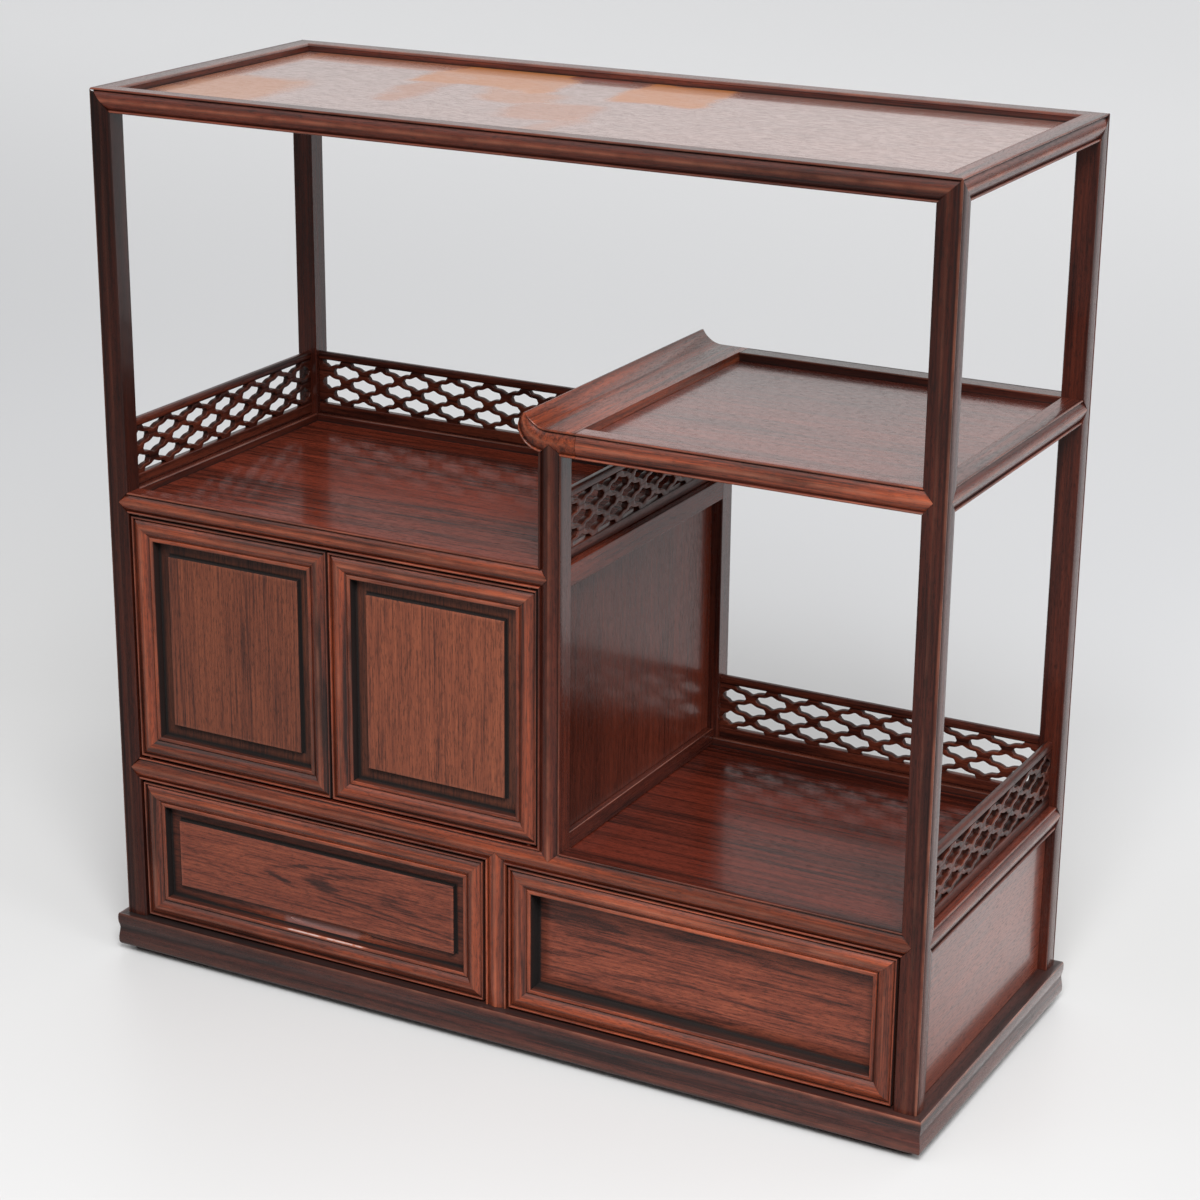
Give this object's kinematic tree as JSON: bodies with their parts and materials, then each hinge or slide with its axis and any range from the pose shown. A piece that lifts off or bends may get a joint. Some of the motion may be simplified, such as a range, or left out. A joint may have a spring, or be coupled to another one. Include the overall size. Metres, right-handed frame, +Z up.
{
  "type": "mizuya tansu",
  "caption": "Rosewood tea cabinet with an open post frame, stepped display shelves with a curled lip and pierced galleries, hinged panelled doors and drawers on a moulded plinth.",
  "frame": {"origin": "centre of the footprint on the floor", "axes": "+X to the right as seen from the front, +Y to the back, +Z up"},
  "size_m": [0.9156, 0.3836, 0.9155],
  "materials": {
    "frame_wood": "dark red-brown lacquered rosewood, satin",
    "lattice_wood": "dark red-brown lacquered rosewood, pierced",
    "shelf_wood": "red-brown lacquered board, glossy",
    "top_wood": "red-brown lacquered board, faded to tan on the left",
    "side_wood": "red-brown lacquered panel",
    "door_panel_wood": "orange-brown lacquered panel with upright streaks",
    "drawer_panel_wood": "red-brown lacquered panel with dark figure",
    "inner_wood": "plain pale wood"
  },
  "bodies": {
    "carcass": {"foot_front_left": "frame_wood", "foot_front_right": "frame_wood", "foot_back_left": "frame_wood", "foot_back_right": "frame_wood", "plinth_front": "frame_wood", "plinth_back": "frame_wood", "plinth_left": "frame_wood", "plinth_right": "frame_wood", "post_front_left": "frame_wood", "post_front_right": "frame_wood", "post_back_left": "frame_wood", "post_back_right": "frame_wood", "divider_post_front": "frame_wood", "divider_post_back": "frame_wood", "drawer_stile": "frame_wood", "top_rail_front": "frame_wood", "top_rail_back": "frame_wood", "top_rail_left": "frame_wood", "top_rail_right": "frame_wood", "middle_rail_front": "frame_wood", "middle_rail_back": "frame_wood", "middle_rail_left": "frame_wood", "middle_rail_right": "frame_wood", "head_rail_front": "frame_wood", "head_rail_back": "frame_wood", "head_rail_left": "frame_wood", "partition_rail": "frame_wood", "partition_strip": "frame_wood", "shelf_rail_front": "frame_wood", "shelf_rail_back": "frame_wood", "shelf_rail_right": "frame_wood", "shelf_curled_end": "frame_wood", "gallery_left": "lattice_wood", "gallery_back_left": "lattice_wood", "gallery_partition": "lattice_wood", "gallery_back_right": "lattice_wood", "gallery_right": "lattice_wood", "lower_shelf_board": "shelf_wood", "cabinet_top_board": "shelf_wood", "upper_shelf_board": "shelf_wood", "top_panel": "top_wood", "cabinet_side_panel": "side_wood", "drawer_side_left": "side_wood", "drawer_side_right": "side_wood", "partition_panel": "side_wood", "bottom_board": "inner_wood", "cabinet_back_panel": "inner_wood", "drawer_back_panel": "inner_wood", "drawer_guide": "inner_wood"},
    "door_left": {"door_left_frame": "frame_wood", "door_left_panel": "door_panel_wood"},
    "door_right": {"door_right_frame": "frame_wood", "door_right_panel": "door_panel_wood"},
    "drawer_left": {"drawer_left_frame": "frame_wood", "drawer_left_panel": "drawer_panel_wood", "drawer_left_box": "inner_wood"},
    "drawer_right": {"drawer_right_frame": "frame_wood", "drawer_right_panel": "drawer_panel_wood", "drawer_right_box": "inner_wood"}
  },
  "joints": [
    {"name": "door_left_hinge", "type": "hinge", "parent": "carcass", "child": "door_left", "pos_m": [-0.4147, -0.177, 0.3565], "axis": [0, 0, -1], "range_deg": [0, 100]},
    {"name": "door_right_hinge", "type": "hinge", "parent": "carcass", "child": "door_right", "pos_m": [0.0354, -0.177, 0.3565], "axis": [0, 0, 1], "range_deg": [0, 100]},
    {"name": "drawer_left_slide", "type": "slide", "parent": "carcass", "child": "drawer_left", "axis": [0, -1, 0], "range_m": [0, 0.24]},
    {"name": "drawer_right_slide", "type": "slide", "parent": "carcass", "child": "drawer_right", "axis": [0, -1, 0], "range_m": [0, 0.24]}
  ]
}
